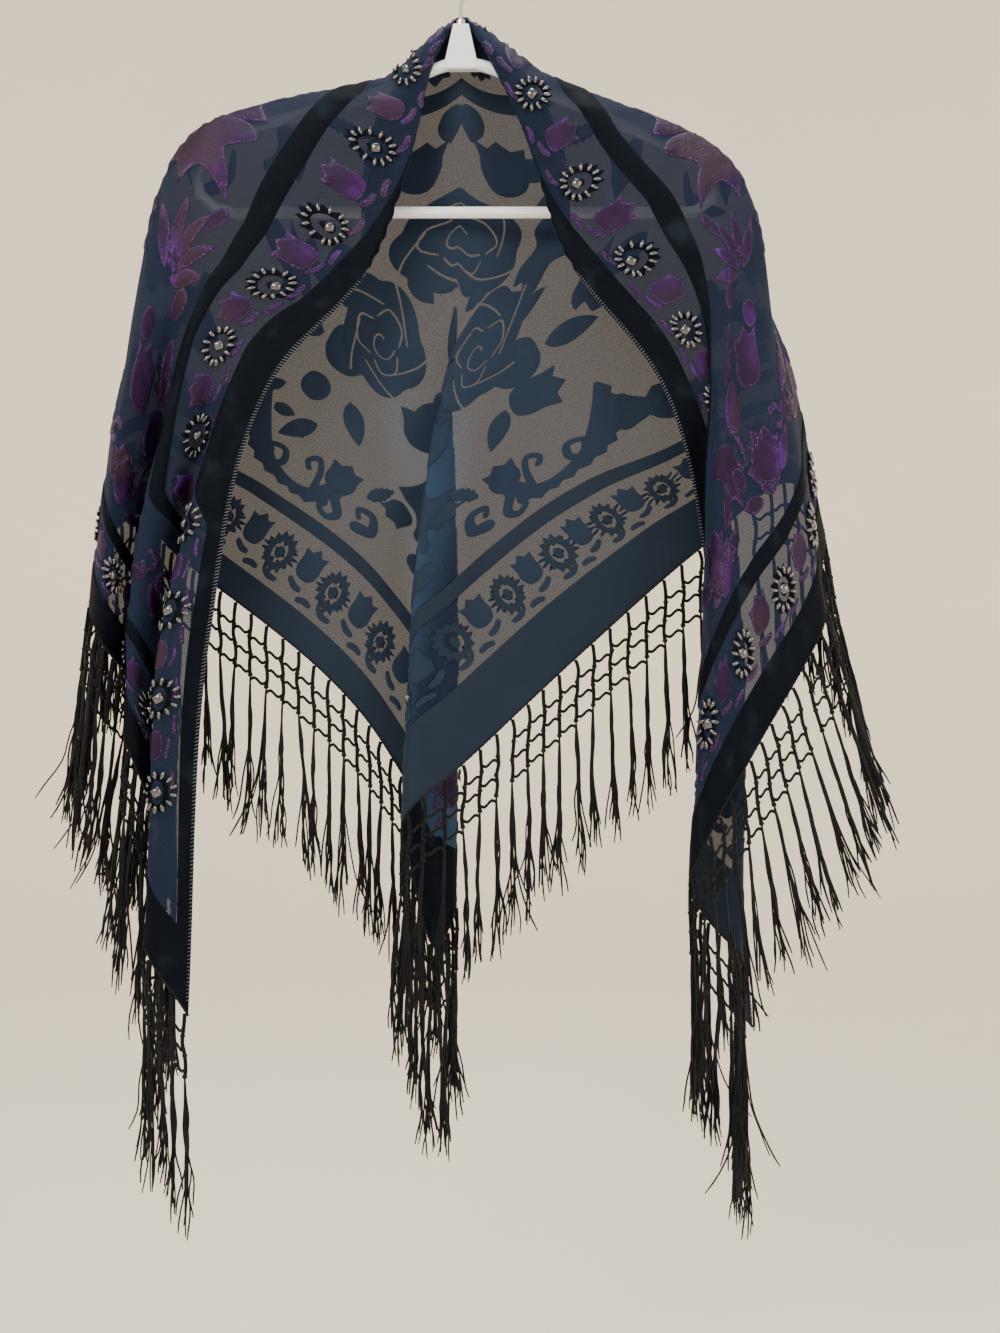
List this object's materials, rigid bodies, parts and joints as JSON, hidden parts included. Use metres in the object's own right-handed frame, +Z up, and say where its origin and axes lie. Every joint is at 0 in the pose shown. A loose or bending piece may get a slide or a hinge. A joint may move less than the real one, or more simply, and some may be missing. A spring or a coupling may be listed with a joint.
{
  "type": "fringed triangular shawl on a clothes hanger",
  "caption": "Triangular burnt-out velvet shawl with a knotted net fringe, draped open over a shaped plastic clothes hanger with a bottom bar and a wire hook.",
  "frame": {"origin": "inside top of the hook, where it rests on its rail", "axes": "+X to the right of the front, +Y away from the front towards the back, +Z up"},
  "size_m": [0.645, 0.1067, 1.0213],
  "materials": {
    "hook_steel": "plain bright wire",
    "hanger_plastic": "smooth white moulding",
    "velvet": "burnt-out velvet on a thin see-through ground",
    "fringe_yarn": "knotted glossy yarn"
  },
  "bodies": {
    "root": {"hanger_hook": "hook_steel", "hanger_frame": "hanger_plastic", "shawl_yoke": "velvet", "shawl_left_front": "velvet", "shawl_left_side": "velvet", "shawl_back_left": "velvet", "shawl_back_centre": "velvet", "shawl_back_right": "velvet", "shawl_right_side": "velvet", "shawl_right_front": "velvet", "fringe_left_front": "fringe_yarn", "fringe_left_side": "fringe_yarn", "fringe_back_left": "fringe_yarn", "fringe_back_centre": "fringe_yarn", "fringe_back_right": "fringe_yarn", "fringe_right_side": "fringe_yarn", "fringe_right_front": "fringe_yarn"}
  },
  "joints": []
}
